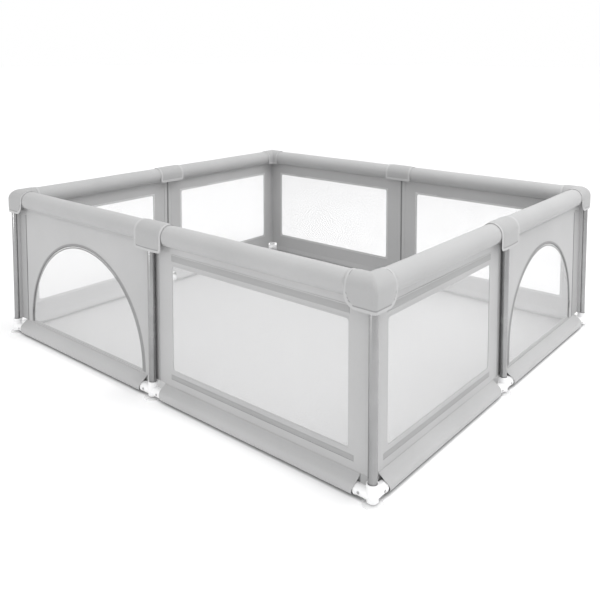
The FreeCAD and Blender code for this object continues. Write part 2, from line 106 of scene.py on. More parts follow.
# Two grids of the same size become a thin closed shell, with a rim between their borders
def shell(outer, inner, flat, wrapAcross=False, finish=0):
    rims = []
    borders = [(slice(None), 0), (slice(None), -1)] if not wrapAcross else []
    borders += [(0, slice(None)), (-1, slice(None))]
    for border in borders:
        pair = np.stack([outer[border], inner[border]])
        edge = flat[border] if not wrapAcross else flat[border][: pair.shape[1] + 1]
        rims.append(surface(pair, np.stack([edge, edge]), wrapAcross=wrapAcross))
    return [surface(outer, flat, wrapAcross=wrapAcross, finish=finish),
            surface(inner, flat, wrapAcross=wrapAcross)] + rims


# Each corner gives way to a curve from reach before it to reach after it:
# point(t) = (1 - t)^2 before + 2 t (1 - t) corner + t^2 after
def softened(outline, reach, steps=5, closed=True):
    outline = np.asarray(outline, float)
    toBefore, toAfter = np.roll(outline, 1, 0) - outline, np.roll(outline, -1, 0) - outline
    before, after = np.linalg.norm(toBefore, axis=1), np.linalg.norm(toAfter, axis=1)
    start = outline + toBefore * (np.minimum(reach, before * 0.49) / np.maximum(before, 1e-9))[:, None]
    end = outline + toAfter * (np.minimum(reach, after * 0.49) / np.maximum(after, 1e-9))[:, None]
    t = np.linspace(0, 1, steps)[None, :, None]
    curve = (1 - t) ** 2 * start[:, None] + 2 * t * (1 - t) * outline[:, None] + t ** 2 * end[:, None]
    if closed:
        return curve.reshape(-1, outline.shape[1])
    return np.concatenate([outline[:1], curve[1:-1].reshape(-1, outline.shape[1]), outline[-1:]])


def finished(part, number):
    part["finish"] = np.full(len(part["faces"]), number)
    return part


def lengthsAlong(points, closed=False):
    points = np.concatenate([points, points[:1]]) if closed else points
    return np.concatenate([[0], np.cumsum(np.linalg.norm(np.diff(points, axis=0), axis=1))])


# A profile of (height, radius) turned about an axis: point = base + axis * height + radius * (side cos a + up sin a)
def turned(profile, base, axis, count=40, closed=False):
    axis = np.asarray(axis, float)
    side = np.cross(axis, (0, 0, 1) if abs(axis[2]) < 0.9 else (1, 0, 0))
    angle = np.linspace(0, 2 * math.pi, count + 1)
    ring = np.outer(np.cos(angle[:-1]), side) + np.outer(np.sin(angle[:-1]), np.cross(axis, side))
    points = np.asarray(base) + axis * profile[:, :1, None] + ring[None] * profile[:, 1:, None]
    return surface(points, pattern(lengthsAlong(profile, closed), angle * profile[:, 1].max()),
                   wrapAlong=closed, wrapAcross=True)


# A closed section carried along a path: point = path + across * a + out * b, with both ends drawn in and closed
def swept(path, across, out, section):
    path, section = np.asarray(path, float), np.asarray(section, float)
    across, out = np.broadcast_to(across, path.shape), np.broadcast_to(out, path.shape)
    points = (path[:, None] + across[:, None] * section[None, :, :1] + out[:, None] * section[None, :, 1:])
    centres = np.repeat(points.mean(1, keepdims=True), len(section), 1)
    points = np.concatenate([centres[:1], points, centres[-1:]])
    along = lengthsAlong(path)
    along = np.concatenate([[along[0]], along, [along[-1]]])
    return surface(points, pattern(along, lengthsAlong(section, True)), wrapAcross=True)


def flatSection(width, thickness):
    return softened([(-width / 2, 0), (width / 2, 0), (width / 2, thickness), (-width / 2, thickness)],
                    thickness * 0.45, 3)


def roundSection(radius, count=10):
    angle = np.linspace(0, 2 * math.pi, count, endpoint=False)
    return np.stack([np.cos(angle), np.sin(angle)], 1) * radius


# Distance from a centre, along each angle, to an outline round it
def reachAt(outline, centre, angles):
    start = np.asarray(outline, float) - centre
    step = np.roll(start, -1, 0) - start
    dx, dz = np.cos(angles)[:, None], np.sin(angles)[:, None]
    det = dx * -step[None, :, 1] + dz * step[None, :, 0]
    det = np.where(abs(det) < 1e-12, 1e-12, det)
    far = (start[None, :, 0] * -step[None, :, 1] + start[None, :, 1] * step[None, :, 0]) / det
    share = (dx * start[None, :, 1] - dz * start[None, :, 0]) / det
    good = (share > -1e-6) & (share < 1 + 1e-6) & (far > 0)
    return np.where(good, far, np.inf).min(1)


def ripples(a, b, seed):
    # a few long waves laid over each other, from -1 to 1
    chance = np.random.default_rng(seed)
    total = np.zeros(np.broadcast(a, b).shape)
    for size in (0.31, 0.19, 0.11):
        turn, shift = chance.uniform(0, math.pi), chance.uniform(0, 6)
        total = total + size * np.sin((a * math.cos(turn) + b * math.sin(turn)) * 2 * math.pi / (size * 1.3) + shift)
    return total / 0.61


def makePiece(name, parts, finishes, body="frame", sharp=38):
    counts = np.cumsum([0] + [len(part["points"]) for part in parts])
    points = np.concatenate([part["points"] for part in parts])
    faces = np.concatenate([part["faces"] + start for part, start in zip(parts, counts)])
    mesh = bpy.data.meshes.new(name)
    mesh.from_pydata(points.tolist(), [], faces.tolist())
    mesh.uv_layers.new(name="flat").data.foreach_set(
        "uv", np.concatenate([part["flat"] for part in parts]).astype(np.float32).ravel())
    mesh.polygons.foreach_set("material_index", np.concatenate([part["finish"] for part in parts]).astype(np.int32))
    for finish in finishes:
        mesh.materials.append(finish)
    build = bmesh.new()
    build.from_mesh(mesh)
    bmesh.ops.remove_doubles(build, verts=build.verts, dist=2e-6)
    bmesh.ops.dissolve_degenerate(build, edges=build.edges, dist=1e-7)
    bmesh.ops.recalc_face_normals(build, faces=build.faces)
    build.to_mesh(mesh)
    build.free()
    mesh.polygons.foreach_set("use_smooth", [True] * len(mesh.polygons))
    mesh.set_sharp_from_angle(angle=math.radians(sharp))
    piece = bpy.data.objects.new(name, mesh)
    bpy.context.scene.collection.objects.link(piece)
    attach(piece, body)
    return piece


# Finishes

def newFinish(name):
    material = bpy.data.materials.new(name)
    material.use_nodes = True
    tree = material.node_tree
    shader = tree.nodes["Principled BSDF"]
    return material, tree, shader


def node(tree, kind, settings=None, **sockets):
    made = tree.nodes.new(kind)
    for key, value in (settings or {}).items():
        setattr(made, key, value)
    for key, value in sockets.items():
        socket = made.inputs[int(key[1:]) if key[0] == "i" and key[1:].isdigit() else key]
        if isinstance(value, bpy.types.NodeSocket):
            tree.links.new(value, socket)
        else:
            socket.default_value = value
    return made


def shades(tree, amount, dark, light):
    ramp = node(tree, "ShaderNodeValToRGB", Fac=amount)
    ramp.color_ramp.elements[0].color = (*dark, 1)
    ramp.color_ramp.elements[1].color = (*light, 1)
    return ramp


def maths(tree, operation, a, b=0):
    return node(tree, "ShaderNodeMath", {"operation": operation}, i0=a, i1=b).outputs[0]


def mixed(tree, a, share, b):
    return maths(tree, "ADD", maths(tree, "MULTIPLY", a, share), maths(tree, "MULTIPLY", b, 1 - share))


def coordinates(tree, kind="Object"):
    return node(tree, "ShaderNodeTexCoord").outputs[kind]


def noise(tree, place, scale, detail):
    return node(tree, "ShaderNodeTexNoise", Vector=place, Scale=scale, Detail=detail).outputs["Fac"]


def roughen(tree, shader, amount, low, high):
    spread = node(tree, "ShaderNodeMapRange", Value=amount)
    spread.inputs["To Min"].default_value, spread.inputs["To Max"].default_value = low, high
    tree.links.new(spread.outputs[0], shader.inputs["Roughness"])


def emboss(tree, shader, height, strength, distance):
    bump = node(tree, "ShaderNodeBump", Height=height, Strength=strength, Distance=distance)
    tree.links.new(bump.outputs[0], shader.inputs["Normal"])


# Plain-weave cloth: threads run both ways on the flat cloth, with slubs, and shade drifts slowly over it
def clothFinish(name, dark, light, thread=0.0011, depth=0.35, sheen=0.15, rough=0.82):
    material, tree, shader = newFinish(name)
    flat = coordinates(tree, "UV")
    split = node(tree, "ShaderNodeSeparateXYZ", Vector=flat)
    turns = 2 * math.pi / thread
    waves = [maths(tree, "SINE", maths(tree, "MULTIPLY", split.outputs[k], turns)) for k in ("X", "Y")]
    weave = maths(tree, "MULTIPLY", *waves)
    slubs = [noise(tree, node(tree, "ShaderNodeMapping", Vector=flat, Scale=stretch).outputs[0], 1.0, 2.0)
             for stretch in ((60, 1400, 1), (1400, 60, 1))]
    threads = mixed(tree, slubs[0], 0.5, slubs[1])
    ramp = shades(tree, mixed(tree, threads, 0.55, noise(tree, coordinates(tree), 3.5, 3.0)), dark, light)
    ramp.color_ramp.elements[0].position, ramp.color_ramp.elements[1].position = 0.3, 0.7
    tree.links.new(ramp.outputs[0], shader.inputs["Base Color"])
    emboss(tree, shader, maths(tree, "ADD", maths(tree, "MULTIPLY", weave, 0.5), threads), depth, 0.0002)
    roughen(tree, shader, threads, rough - 0.08, rough + 0.08)
    shader.inputs["Sheen Weight"].default_value = sheen
    shader.inputs["Sheen Roughness"].default_value = 0.4
    shader.inputs["Specular IOR Level"].default_value = 0.25
    return material


# Netting: two sets of slanting threads and one upright set cross on the flat cloth, and the rest is open
def nettingFinish(name, shade, pitch=0.0016, width=0.17):
    material, tree, shader = newFinish(name)
    flat = coordinates(tree, "UV")
    cover = None
    for turn in (0.0, math.pi / 3, -math.pi / 3):
        mapped = node(tree, "ShaderNodeMapping", Vector=flat, Rotation=(0, 0, turn))
        across = node(tree, "ShaderNodeSeparateXYZ", Vector=mapped.outputs[0]).outputs["X"]
        cell = maths(tree, "PINGPONG", maths(tree, "MULTIPLY", across, 1 / pitch), 0.5)
        thread = maths(tree, "LESS_THAN", cell, width * 0.5)
        cover = thread if cover is None else maths(tree, "MAXIMUM", cover, thread)
    ramp = shades(tree, noise(tree, coordinates(tree), 9.0, 2.0), [c * 0.97 for c in shade], shade)
    tree.links.new(ramp.outputs[0], shader.inputs["Base Color"])
    tree.links.new(cover, shader.inputs["Alpha"])
    shader.inputs["Roughness"].default_value = 0.75
    shader.inputs["Specular IOR Level"].default_value = 0.2
    return material


# Drawn steel: fine lines along the tube on its own length, and faint blotches of polish
def steelFinish(name, dark, light, rough=0.2):
    material, tree, shader = newFinish(name)
    mapped = node(tree, "ShaderNodeMapping", Vector=coordinates(tree, "UV"), Scale=(3, 1800, 1))
    lines = noise(tree, mapped.outputs[0], 1.0, 3.0)
    amount = mixed(tree, lines, 0.5, noise(tree, coordinates(tree), 14.0, 4.0))
    tree.links.new(shades(tree, amount, dark, light).outputs[0], shader.inputs["Base Color"])
    roughen(tree, shader, amount, rough - 0.06, rough + 0.1)
    emboss(tree, shader, lines, 0.12, 0.0001)
    shader.inputs["Metallic"].default_value = 1.0
    return material


# Moulded or cast surface: a fine grain over slow drift, read from the place in space
def mouldedFinish(name, dark, light, rough=0.35, metal=0.0, grain=900.0, depth=0.06, coat=0.0):
    material, tree, shader = newFinish(name)
    place = coordinates(tree)
    fine, slow = noise(tree, place, grain, 2.0), noise(tree, place, 18.0, 4.0)
    tree.links.new(shades(tree, mixed(tree, fine, 0.3, slow), dark, light).outputs[0], shader.inputs["Base Color"])
    roughen(tree, shader, slow, rough - 0.08, rough + 0.12)
    emboss(tree, shader, fine, depth, 0.0002)
    shader.inputs["Metallic"].default_value = metal
    shader.inputs["Coat Weight"].default_value = coat
    return material


def grey(value):
    return (value, value, value * 1.004)


panelCloth = clothFinish("wall_cloth", grey(0.42), grey(0.49))
sleeveCloth = clothFinish("sleeve_cloth", grey(0.385), grey(0.45))
coverCloth = clothFinish("cover_cloth", grey(0.36), grey(0.42), thread=0.0014, depth=0.45)
tapeCloth = clothFinish("binding_tape", grey(0.43), grey(0.49), thread=0.0018, depth=0.6, rough=0.7)
# painted shade: darker cloth on the seam line of each cover, standing in for the shade in its dip
coverSeamShade = clothFinish("cover_seam_painted_shade", grey(0.26), grey(0.31), rough=0.9)
seamCloth = clothFinish("seam_shadow", grey(0.13), grey(0.18), rough=0.9)
zipCloth = clothFinish("zip_tape", grey(0.26), grey(0.32), rough=0.8)
# painted shade: darker cloth standing in for the shaded recess beside each post
postShadeCloth = clothFinish("post_strip_painted_shade", grey(0.33), grey(0.39), rough=0.6)
# painted shade: darker cloth for the shade in the grooves under the top piping and above the hem
bandShadeCloth = clothFinish("recessed_band_painted_shade", grey(0.32), grey(0.38), rough=0.85)
netting = nettingFinish("netting", grey(0.78))
steel = steelFinish("post_steel", grey(0.20), grey(0.42), rough=0.24)
innerSteel = mouldedFinish("inner_steel", grey(0.42), grey(0.55), rough=0.3, metal=1.0, grain=300.0)
whitePlastic = mouldedFinish("foot_plastic", grey(0.84), grey(0.90), rough=0.28, coat=0.2)
hiddenPlastic = mouldedFinish("fitting_plastic", grey(0.03), grey(0.06), rough=0.5)
toothPlastic = mouldedFinish("zip_teeth", grey(0.17), grey(0.23), rough=0.35)
sliderMetal = mouldedFinish("zip_slider_metal", grey(0.35), grey(0.45), rough=0.32, metal=1.0, grain=500.0)
buttonMetal = mouldedFinish("button_metal", grey(0.40), grey(0.52), rough=0.3, metal=1.0, grain=400.0)
cupRubber = mouldedFinish("cup_rubber", grey(0.90), grey(0.96), rough=0.3, grain=200.0)
cupRubber.node_tree.nodes["Principled BSDF"].inputs["Alpha"].default_value = 0.35
print("finishes made")


# Posts and floor rails

tube = {"wall": 0.001, "edge": 0.0004, "floorRadius": 0.0125, "floorInset": 0.0223}


def tubeProfile(length, radius):
    bore = radius - tube["wall"]
    return softened([(0, bore), (0, radius), (length, radius), (length, bore)], tube["edge"], 3)


for name in [n for n in nodes if n.startswith("post_")]:
    low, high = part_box(name)
    centre = middle(name)
    profile = tubeProfile(high.z - low.z, (high.x - low.x) / 2)
    post = makePiece("tube_" + name, [turned(profile, (centre[0], centre[1], low.z), (0, 0, 1), 56, closed=True)],
                     [steel])
    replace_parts(post, name)

for side, wall in walls.items():
    profile = tubeProfile(wall["half"] - 2 * tube["floorInset"], tube["floorRadius"])
    parts = []
    for start in (tube["floorInset"], -wall["half"] + tube["floorInset"]):
        part = turned(profile, (start, 0, hemZ), (1, 0, 0), 40, closed=True)
        part["points"] = placed(part["points"], wall)
        parts.append(part)
    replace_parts(makePiece("floor_rails_" + side, parts, [steel]), "bottom_rails_" + side)
print("tubes made")


# Feet

foot = {"base": 0.008, "socket": 0.0175, "top": 0.061, "rise": 0.0012, "collar": 0.007, "arm": 0.0165, "reach": 0.058,
        "post": 0.0143, "rail": 0.0128, "button": 0.038, "postDepth": 0.006, "railDepth": 0.008, "shoulder": 0.0165,
        "shoulderEnd": 0.023, "shoulderRise": 0.0006, "edge": 0.0009, "ring": 0.0052, "ringWire": 0.0009}


def footParts(arms):
    f = foot
    socket = [(f["base"], 0), (f["base"], f["socket"]), (f["top"] - f["collar"], f["socket"]),
              (f["top"] - f["collar"], f["socket"] + f["rise"]), (f["top"], f["socket"] + f["rise"]),
              (f["top"], f["post"]), (f["top"] - f["postDepth"], f["post"]), (f["top"] - f["postDepth"], 0)]
    parts = [turned(softened(socket, f["edge"], 4, closed=False), (0, 0, 0), (0, 0, 1), 48)]
    for axis, face in arms:
        arm = [(0, 0), (0, f["arm"]), (f["shoulder"], f["arm"] + f["shoulderRise"]), (f["shoulderEnd"], f["arm"]),
               (f["reach"] - f["collar"], f["arm"]), (f["reach"] - f["collar"], f["arm"] + f["rise"]),
               (f["reach"], f["arm"] + f["rise"]), (f["reach"], f["rail"]),
               (f["reach"] - f["railDepth"], f["rail"]), (f["reach"] - f["railDepth"], 0)]
        parts.append(turned(softened(arm, f["edge"], 4, closed=False), (0, 0, hemZ), axis, 48))
        # raised ring round the button, on the arm's outer face
        ring = roundSection(f["ringWire"], 8) + (f["arm"] - 0.0002, f["ring"])
        button = np.array(axis, float) * f["button"] + (0, 0, hemZ)
        parts.append(turned(ring, button, face, 24, closed=True))
    return parts


def putAt(parts, spot):
    for part in parts:
        part["points"] = placed(part["points"], spot)
    return parts


for name, corner in corners.items():
    parts = putAt(footParts([((-1, 0, 0), (0, 1, 0)), ((0, -1, 0), (1, 0, 0))]), corner)
    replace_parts(makePiece("moulded_foot_" + name, parts, [whitePlastic], sharp=50),
                "foot_" + name)
for side, wall in walls.items():
    parts = putAt(footParts([((1, 0, 0), (0, 1, 0)), ((-1, 0, 0), (0, 1, 0))]), wall)
    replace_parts(makePiece(f"moulded_foot_{side}_mid", parts, [whitePlastic], sharp=50),
                f"foot_{side}_mid")

# Outer skin from the neck down to the rim, then the hollow underneath, as (height, radius)
cup = {"outline": [(0.0078, 0), (0.0078, 0.0095), (0.0070, 0.0130), (0.0056, 0.0190), (0.0042, 0.0260),
                   (0.0028, 0.0316), (0.0014, 0.0330), (0, 0.0330), (0, 0.0290), (0.0016, 0.0255),
                   (0.0032, 0.0165), (0.0044, 0.0085), (0.0048, 0)], "edge": 0.0014}
parts = []
for spot in [*corners.values(), *walls.values()]:
    parts += putAt([turned(softened(cup["outline"], cup["edge"], 4, closed=False), (0, 0, 0), (0, 0, 1), 48)], spot)
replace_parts(makePiece("floor_suction_cups", parts, [cupRubber], sharp=60), "suction_cups")
print("feet made")


# Padded top rails: a tube of cloth over foam, round in section, with slow ripples, a pinch at the panel's seam and
# small puckers by the covers: radius(x, a) = radius + ripple - pinch - puckers

sleeve = {"radius": 0.0384, "end": 0.067, "ripple": 0.00045, "pinch": 0.0014, "pinchAngle": 0.09, "pucker": 0.0005,
          "puckerReach": 0.03, "midCover": 0.076, "cornerCover": 0.095, "seamDrop": 0.0378, "seamDepth": 0.0165,
          "rows": 260, "count": 64}


def paddedRail(side, wall):
    reach = wall["half"] - sleeve["end"]
    x = np.linspace(-reach, reach, sleeve["rows"])
    angle = np.linspace(0, 2 * math.pi, sleeve["count"] + 1)
    a = angle[None, :-1]
    seam = math.atan2(-sleeve["seamDrop"], railIn - sleeve["seamDepth"])
    apart = (a - seam + math.pi) % (2 * math.pi) - math.pi
    coverEnds = (sleeve["midCover"], wall["half"] - sleeve["cornerCover"])
    fromCover = np.minimum(*[abs(abs(x) - end) for end in coverEnds])[:, None]
    pucker = (1 + np.sin(a * 13 + x[:, None] * 40)) / 2 * np.exp(-fromCover / sleeve["puckerReach"])
    radius = (sleeve["radius"] + sleeve["ripple"] * ripples(x[:, None], a * 0.04, len(side))
              - sleeve["pinch"] * np.exp(-(apart / sleeve["pinchAngle"]) ** 2) - sleeve["pucker"] * pucker)
    scale = np.concatenate([[0, 0.7, 0.95, 0.99], np.ones(len(x) - 4), [0.99, 0.95, 0.7, 0]])
    rows = np.clip(np.arange(-2, len(x) + 2), 0, len(x) - 1)
    radius = radius[rows] * scale[:, None]
    x = x[rows]
    points = np.stack([np.broadcast_to(x[:, None], radius.shape), radius * np.cos(a) - railIn,
                       railZ + radius * np.sin(a)], -1)
    part = surface(placed(points, wall), pattern(x, angle * sleeve["radius"]), wrapAcross=True)
    piece = makePiece("padded_rail_" + side, [part], [sleeveCloth], sharp=60)
    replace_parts(piece, "rail_pad_" + side)


for side, wall in walls.items():
    paddedRail(side, wall)
print("padded rails made")


# Wall panels: for each half of a wall, rays go out from the opening's middle, and cloth lies between the opening's
# edge and the half's own outline: point = middle + ray * (edge + (outline - edge) * t)

panel = {"low": 0.0383, "high": 0.5745, "end": 0.001, "notch": 0.0625, "notchReach": 0.053, "ripple": 0.0005,
         "rows": 16, "rays": 300, "roll": 0.0006, "rollReach": 0.004, "archCentre": 0.2, "windowCentre": 0.314}
window = {"margin": 0.097, "low": 0.123, "high": 0.505, "corner": 0.012, "over": 0.01, "behind": 0.0002,
          "slack": 0.0012}


def windowOutline(half, grow=0.0, steps=7):
    m, low, high = window["margin"] - grow, window["low"] - grow, window["high"] + grow
    return softened([(m, low), (half - m, low), (half - m, high), (m, high)], window["corner"], steps)


# Up one leg, round the half circle and down the other leg
def archPath(door, inset=0.0, count=121, foot=None):
    radius, bottom = door["radius"] - inset, door["foot"] if foot is None else foot
    angle = np.linspace(0, math.pi, count)
    arc = np.stack([door["middle"] + radius * np.cos(angle), door["spring"] + radius * np.sin(angle)], 1)
    legs = np.linspace(bottom, door["spring"], 5)[:-1]
    right = np.stack([np.full(4, arc[0, 0]), legs], 1)
    left = np.stack([np.full(4, arc[-1, 0]), legs[::-1]], 1)
    return np.concatenate([right, arc, left])


def halfOutline(half):
    p, reach, side = panel, panel["notchReach"], half - panel["end"]
    return np.array([(0, p["notch"]), (reach, p["notch"]), (reach, p["low"]), (half - reach, p["low"]),
                     (half - reach, p["notch"]), (side, p["notch"]), (side, p["high"]), (0, p["high"])])


def halfPanel(side, wall, hand):
    half = wall["half"]
    isDoor = wall["door"] == hand
    hole = archPath(doors[side], inset=-0.003) if isDoor else windowOutline(half)
    outline = halfOutline(half)
    centre = np.array([doors[side]["middle"], panel["archCentre"]] if isDoor else [half / 2, panel["windowCentre"]])
    marks = np.concatenate([outline, hole[::3] if isDoor else hole]) - centre
    even = np.linspace(-math.pi, math.pi, panel["rays"], endpoint=False)
    angles = np.unique(np.round(np.concatenate([even, np.arctan2(marks[:, 1], marks[:, 0])]), 6))
    near = reachAt(hole, centre, angles)
    far = np.maximum(reachAt(outline, centre, angles), near + 0.003)
    t = np.linspace(0, 1, panel["rows"])[:, None]
    reach = near + (far - near) * t
    x, z = centre[0] + np.cos(angles) * reach, centre[1] + np.sin(angles) * reach
    wave = panel["ripple"] * ripples(x * hand, z, 3 + len(side)) * np.sin(math.pi * np.clip(t, 0, 1)) ** 0.7
    # the cloth rolls over at the opening's edge
    roll = panel["roll"] * np.exp(-(reach - near) / panel["rollReach"])
    outer = np.stack([x * hand, panelOut + wave + roll, z], -1)
    inner = np.stack([x * hand, panelIn + wave - roll * 0.5, z], -1)
    flat = np.stack([x * hand, z], -1)
    flat = np.concatenate([flat, flat[:, :1]], 1)
    parts = shell(placed(outer, wall), placed(inner, wall), flat, wrapAcross=True)
    cloth = 0.5 * abs(np.diff(angles, append=angles[0] + 2 * math.pi) * (far ** 2 - near ** 2)).sum()
    return parts, cloth


def wallPanel(side, wall):
    parts, cloth = [], 0
    for hand in (1, -1):
        more, area = halfPanel(side, wall, hand)
        parts += more
        cloth += area
    piece = makePiece("wall_panel_" + side, parts, [panelCloth])
    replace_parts(piece, "wall_" + side)
    return piece, cloth


# Floor hems: cloth tubes round the floor rails, open at both ends, which are cut on a slant. The section is a drop:
# a circle, and the two straight lines that touch it from the point where the hem is sewn to the panel, so that
# between point and touch, radius(a) = circle / cos(a - touch)
hem = {"radius": 0.0208, "wall": 0.0013, "end": 0.052, "slant": 0.013, "ripple": 0.0004, "sewn": (-0.0150, 0.0360)}


def dropRadius(a, circle):
    y, z = hem["sewn"]
    point, spread = math.atan2(z, y), math.acos(circle / math.hypot(y, z))
    apart = abs((a - point + math.pi) % (2 * math.pi) - math.pi)
    return np.where(apart < spread, circle / np.cos(np.minimum(spread - apart, spread)), circle)


# Length of cloth round the section, from the first angle on to each other one and back
def hemRound(angles):
    radius = dropRadius(angles, hem["radius"])
    return lengthsAlong(np.stack([radius * np.cos(angles), radius * np.sin(angles)], 1), closed=True)


def hemPart(wall, start, end, seed):
    x = np.linspace(0, 1, 120)
    angle = np.linspace(0, 2 * math.pi, 97) + math.atan2(hem["sewn"][1], hem["sewn"][0])
    a = angle[None, :-1]
    slant = hem["slant"] * (1 - np.sin(a)) / 2
    place = (start + slant) + (end - start - 2 * slant) * x[:, None]
    wave = hem["ripple"] * ripples(place, a * 0.026, seed)
    grids = []
    for radius in (hem["radius"], hem["radius"] - hem["wall"]):
        r = dropRadius(a, radius) + wave
        grids.append(placed(np.stack([place, r * np.cos(a), hemZ + r * np.sin(a)], -1), wall))
    flat = pattern(start + (end - start) * x, hemRound(angle[:-1]))
    return shell(grids[0], grids[1], flat, wrapAcross=True)


def floorHems(side, wall):
    half, e = wall["half"], hem["end"]
    parts = hemPart(wall, e, half - e, 1 + len(side)) + hemPart(wall, e - half, -e, 5 + len(side))
    piece = makePiece("floor_hems_" + side, parts, [panelCloth], sharp=60)


# Netting windows, a slightly slack sheet behind each opening: y = depth - slack * product of two half waves
def nettingWindow(side, wall, hand):
    half, over = wall["half"], window["over"]
    low, high = window["low"] - over, window["high"] + over
    left, right = window["margin"] - over, half - window["margin"] + over
    x, z = np.linspace(left, right, 60), np.linspace(low, high, 34)
    bulge = np.outer(np.sin(math.pi * (x - left) / (right - left)), np.sin(math.pi * (z - low) / (high - low)))
    depth = panelIn - window["behind"] - window["slack"] * bulge
    grid = placed(np.stack([np.broadcast_to(x[:, None] * hand, bulge.shape), depth,
                            np.broadcast_to(z[None], bulge.shape)], -1), wall)
    piece = makePiece(f"netting_{side}_{'high' if hand > 0 else 'low'}", [surface(grid, pattern(x, z))],
                      [netting])
    return piece


# Light piping, dark seams painted as seam shadow, and darker bands painted as shade on the panels. Heights are over
# the floor, places along the wall are measured from the mid post, and a flat section is given as its width and
# thickness
trim = {"piping": (0.0034, 0.0014), "pipingHeights": (0.546, 0.521), "band": (0.022, 0.0008), "bandHeight": 0.5335,
        "thinPiping": (0.0025, 0.0008), "thinHeight": 0.560, "thinEnd": 0.03,
        "hemStitch": (0.003, 0.001), "stitchGap": 0.003,
        "lowSeam": 0.0007, "lowSeamHeight": 0.088, "lowBand": (0.017, 0.0007), "lowBandHeight": 0.097,
        "lowStart": 0.01, "lowEnd": 0.02,
        "strip": (0.024, 0.0007), "stripHeights": (0.064, 0.572), "stripAt": 0.013,
        "cornerStrip": {"front": 0.068, "right": 0.090}, "cornerStripTop": 0.542, "cornerSeam": (0.004, 0.0009),
        "cornerPiping": 0.545, "innerSeam": 0.0012, "innerSeamTop": 0.571, "innerSeamAt": 0.002,
        "innerTape": (0.018, -0.0010), "innerTapeTop": 0.570, "innerTapeAt": 0.014, "count": 40}


def wallLine(wall, hand, x0, x1, z0, z1, section, depth=panelOut):
    count = trim["count"]
    path = np.stack([np.linspace(x0, x1, count) * hand, np.full(count, depth), np.linspace(z0, z1, count)], -1)
    step = path[-1] - path[0]
    step = step / np.linalg.norm(step)
    out = np.array([0, 1.0, 0])
    part = swept(path, np.cross(out, step), out, section)
    part["points"] = placed(part["points"], wall)
    return part


def wallTrim(side, wall):
    half, margin = wall["half"], window["margin"]
    light, dark, shadeStrips, shadeBands = [], [], [], []
    piping, stitch = flatSection(*trim["piping"]), flatSection(*trim["hemStitch"])
    foot, top = trim["stripHeights"]

    def level(group, hand, x0, x1, z, section):
        group.append(wallLine(wall, hand, x0, x1, z, z, section))

    def upright(group, hand, x, high, section, depth=panelOut):
        group.append(wallLine(wall, hand, x, x, foot, high, section, depth))

    for hand in (1, -1):
        if wall["door"] == hand:
            level(light, hand, trim["thinEnd"], half - trim["thinEnd"], trim["thinHeight"],
                  flatSection(*trim["thinPiping"]))
        else:
            for z in trim["pipingHeights"]:
                level(light, hand, margin - 0.004, half - margin + 0.004, z, piping)
            level(shadeBands, hand, margin - 0.003, half - margin + 0.003, trim["bandHeight"], flatSection(*trim["band"]))
            for z in (window["high"] + trim["stitchGap"], window["low"] - trim["stitchGap"]):
                level(light, hand, margin, half - margin, z, stitch)
            low = (margin - trim["lowStart"], half - margin + trim["lowEnd"])
            level(dark, hand, *low, trim["lowSeamHeight"], roundSection(trim["lowSeam"], 8))
            level(shadeBands, hand, *low, trim["lowBandHeight"], flatSection(*trim["lowBand"]))
        # painted shade: dark strips on the cloth behind the posts stand in for the shade in the recess there, and
        # upright seams inside
        upright(shadeStrips, hand, trim["stripAt"], top, flatSection(*trim["strip"]))
        if wall["door"] == hand:
            width, high = trim["cornerStrip"][side], trim["cornerStripTop"]
            upright(shadeStrips, hand, half - width / 2, high, flatSection(width - 0.001, trim["strip"][1]))
            upright(dark, hand, half - width, high, flatSection(*trim["cornerSeam"]))
            level(light, hand, half - width - 0.003, half - 0.002, trim["cornerPiping"], piping)
        upright(dark, hand, trim["innerSeamAt"], trim["innerSeamTop"], roundSection(trim["innerSeam"], 8), panelIn)
        upright(light, hand, trim["innerTapeAt"], trim["innerTapeTop"], flatSection(*trim["innerTape"]), panelIn)
    dark += [finished(part, 1) for part in shadeStrips] + [finished(part, 2) for part in shadeBands]
    return [makePiece("wall_piping_" + side, light, [tapeCloth]),
            makePiece("wall_painted_shade_" + side, dark, [seamCloth, postShadeCloth, bandShadeCloth])]


for side, wall in walls.items():
    floorHems(side, wall)
    piece, cloth = wallPanel(side, wall)
    trims = wallTrim(side, wall)
windowPieces = [nettingWindow(side, wall, hand) for side, wall in walls.items() for hand in (1, -1)
                if wall["door"] != hand]
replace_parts(windowPieces[0], "mesh_windows")
print("walls made")


# Covers: a padded strip over the rail, with a flat binding round its border. Seen flat, a point is at d along the
# rail and v round the section. Its height over the sleeve is the binding's near the border, then a dip at the seam,
# then padding that swells with the distance from the seam: dip + (padding - dip) * sqrt(1 - (1 - share)^2)

cover = {"inner": 0.0396, "binding": 0.0013, "dip": 0.0005, "padding": 0.0029, "tape": 0.0115, "swell": 0.022,
         "outerDrop": 0.060, "innerDrop": 0.035, "cornerReach": 0.073, "midReach": 0.076, "ridge": 0.011,
         "innerRidge": 0.0012, "ripple": 0.0004, "rippleReach": 0.03, "edge": 0.0015, "blend": 0.0012,
         "lobeFlat": 0.03, "lobeEnd": 0.006}


def coverHeight(fromBorder):
    c = cover
    inside = np.clip((fromBorder - c["tape"]) / c["swell"], 0, 1)
    puffed = c["dip"] + (c["padding"] - c["dip"]) * np.sqrt(1 - (1 - inside) ** 2)
    tape = c["binding"] * np.clip(fromBorder / c["edge"], 0.35, 1) ** 0.5
    blend = np.clip((fromBorder - c["tape"] + c["blend"]) / c["blend"], 0, 1)
    return tape * (1 - blend) + puffed * blend


# The length v is measured round the section from the level of the rail's axis on the outer side, downwards negative:
# straight down the outer face, half a circle over the top, straight down the inner face
def sectionPoint(v, radius):
    length = math.pi * cover["inner"]
    a = np.clip(v, 0, length) / cover["inner"]
    below = np.minimum(v, 0) + np.minimum(length - v, 0)
    return radius * np.cos(a), radius * np.sin(a) + below


